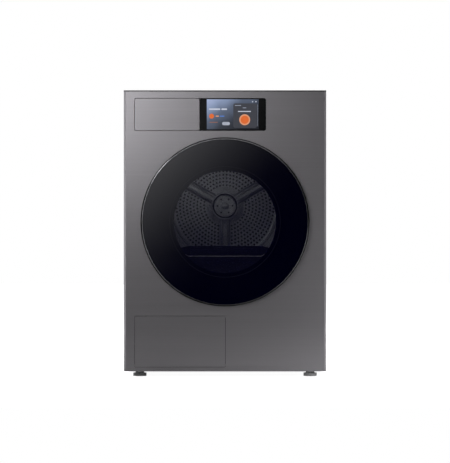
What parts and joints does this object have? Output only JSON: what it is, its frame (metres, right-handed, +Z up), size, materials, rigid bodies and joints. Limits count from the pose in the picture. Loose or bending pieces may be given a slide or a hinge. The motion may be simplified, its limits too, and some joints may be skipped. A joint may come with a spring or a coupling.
{
  "type": "clothes dryer",
  "caption": "Freestanding heat-pump clothes dryer with a round glass door, a condensate drawer beside a touch display, and a service flap over the heat exchanger.",
  "frame": {"origin": "on the floor, below the middle of the machine's whole depth and width", "axes": "+Z up, front (door) towards -Y, +X to the right of a person facing the door"},
  "size_m": [0.6, 0.65, 0.85],
  "materials": {
    "dark_steel": "fine horizontal brushing, dark tint",
    "cabinet_paint": "satin powder coat",
    "top_paint": "satin powder coat",
    "zinc_sheet": "galvanised sheet",
    "zinc_steel": "zinc plated",
    "bright_steel": "turned steel",
    "drum_steel": "stainless drum sheet",
    "base_plastic": "moulded, fine texture",
    "dark_plastic": "moulded, satin",
    "light_plastic": "moulded, satin",
    "gloss_black": "polished",
    "screen_glass": "lit display under glass",
    "door_glass": "black printed border, tinted clear middle",
    "window_glass": "moulded bowl",
    "ring_chrome": "dark satin chrome",
    "felt": "pressed wool felt",
    "seal_rubber": "soft lip",
    "belt_rubber": "ribbed belt",
    "roller_rubber": "rubber tyre on a plastic hub",
    "bronze": "sintered bronze",
    "copper": "drawn copper tube",
    "black_paint": "gloss black enamel",
    "fins": "pressed fins",
    "tank_plastic": "translucent polypropylene",
    "filter_plastic": "moulded frame with fine mesh",
    "latch_plastic": "moulded",
    "foot_plastic": "pale grey rubber pad on a plastic foot"
  },
  "bodies": {
    "cabinet": {"front_panel": "dark_steel", "side_panel_left": "cabinet_paint", "side_panel_right": "cabinet_paint", "top_cover": "top_paint", "rear_panel": "zinc_sheet", "rear_duct_cover": "zinc_sheet", "base_pan": "base_plastic", "door_surround": "dark_plastic", "front_bulkhead": "dark_plastic", "drum_seals": "felt", "rear_bulkhead": "zinc_sheet", "rear_bearing": "bronze", "display_bezel": "gloss_black", "display_screen": "screen_glass", "tank_housing": "light_plastic", "push_latches": "light_plastic", "door_catch": "light_plastic", "door_hinge_bracket": "zinc_steel", "drum_belt": "belt_rubber", "motor": "zinc_steel", "compressor": "black_paint", "refrigerant_pipes": "copper", "evaporator": "fins", "condenser": "fins", "hx_duct": "base_plastic", "hx_cover": "dark_plastic", "blower_housing": "base_plastic", "condensate_pump": "light_plastic", "moisture_sensor": "bright_steel", "cable_gland": "dark_plastic", "drain_spigot": "light_plastic", "rear_screws": "bright_steel", "foot_front_left": "foot_plastic", "foot_front_right": "foot_plastic", "foot_rear_left": "foot_plastic", "foot_rear_right": "foot_plastic"},
    "door": {"door_glass": "door_glass", "door_ring": "ring_chrome", "door_frame": "dark_plastic", "door_liner": "dark_plastic", "door_window": "window_glass", "door_seal": "seal_rubber", "door_hinge_leaf": "zinc_steel"},
    "drum": {"drum_shell": "drum_steel", "drum_back": "drum_steel", "drum_lifters": "dark_plastic", "drum_shaft": "bright_steel", "hub_cap": "drum_steel"},
    "motor_rotor": {"motor_shaft": "bright_steel", "blower_wheel": "light_plastic"},
    "tension_arm": {"idler_arm": "zinc_steel"},
    "tension_wheel": {"idler_pulley": "light_plastic"},
    "support_roller_left": {"roller_left": "roller_rubber"},
    "support_roller_right": {"roller_right": "roller_rubber"},
    "drawer": {"tank_fascia": "dark_steel", "water_tank": "tank_plastic"},
    "filter": {"lint_filter": "filter_plastic"},
    "flap": {"service_flap": "dark_steel"},
    "latch_left": {"hx_latch_left": "latch_plastic"},
    "latch_right": {"hx_latch_right": "latch_plastic"}
  },
  "joints": [
    {"name": "door_hinge", "type": "hinge", "parent": "cabinet", "child": "door", "pos_m": [0.228, -0.312, 0.46], "axis": [0, 0, 1], "range_deg": [0, 150]},
    {"name": "drum_spin", "type": "hinge", "parent": "cabinet", "child": "drum", "pos_m": [0, 0.015, 0.515], "axis": [0, 1, 0], "continuous": true},
    {"name": "motor_spin", "type": "hinge", "parent": "cabinet", "child": "motor_rotor", "pos_m": [0.15, 0.045, 0.12], "axis": [0, 1, 0], "continuous": true},
    {"name": "tension_arm_swing", "type": "hinge", "parent": "cabinet", "child": "tension_arm", "pos_m": [0.14295, -0.0335, 0.09016], "axis": [0, -1, 0], "range_deg": [0, 15], "stiffness_Nm_per_rad": 2, "springref_deg": -17.19},
    {"name": "tension_wheel_spin", "type": "hinge", "parent": "tension_arm", "child": "tension_wheel", "pos_m": [0.0849, -0.045, 0.12157], "axis": [0, 1, 0], "continuous": true},
    {"name": "support_roller_left_spin", "type": "hinge", "parent": "cabinet", "child": "support_roller_left", "pos_m": [-0.17626, -0.195, 0.26327], "axis": [0, 1, 0], "continuous": true},
    {"name": "support_roller_right_spin", "type": "hinge", "parent": "cabinet", "child": "support_roller_right", "pos_m": [0.17626, -0.195, 0.26327], "axis": [0, 1, 0], "continuous": true},
    {"name": "drawer_slide", "type": "slide", "parent": "cabinet", "child": "drawer", "axis": [0, -1, 0], "range_m": [-0.003, 0.5]},
    {"name": "filter_lift", "type": "slide", "parent": "cabinet", "child": "filter", "axis": [0, 0, 1], "range_m": [0, 0.19]},
    {"name": "flap_hinge", "type": "hinge", "parent": "cabinet", "child": "flap", "pos_m": [-0.1333, -0.294, 0.036], "axis": [1, 0, 0], "range_deg": [0, 90]},
    {"name": "latch_left_turn", "type": "hinge", "parent": "cabinet", "child": "latch_left", "pos_m": [-0.248, -0.272, 0.1192], "axis": [0, 1, 0], "range_deg": [0, 90]},
    {"name": "latch_right_turn", "type": "hinge", "parent": "cabinet", "child": "latch_right", "pos_m": [-0.025, -0.272, 0.1192], "axis": [0, 1, 0], "range_deg": [0, 90]}
  ],
  "couplings": [
    {"joint": "motor_spin", "follows": "drum_spin", "ratio": 47},
    {"joint": "tension_wheel_spin", "follows": "drum_spin", "ratio": -14.265},
    {"joint": "support_roller_left_spin", "follows": "drum_spin", "ratio": -11.28},
    {"joint": "support_roller_right_spin", "follows": "drum_spin", "ratio": -11.28}
  ]
}
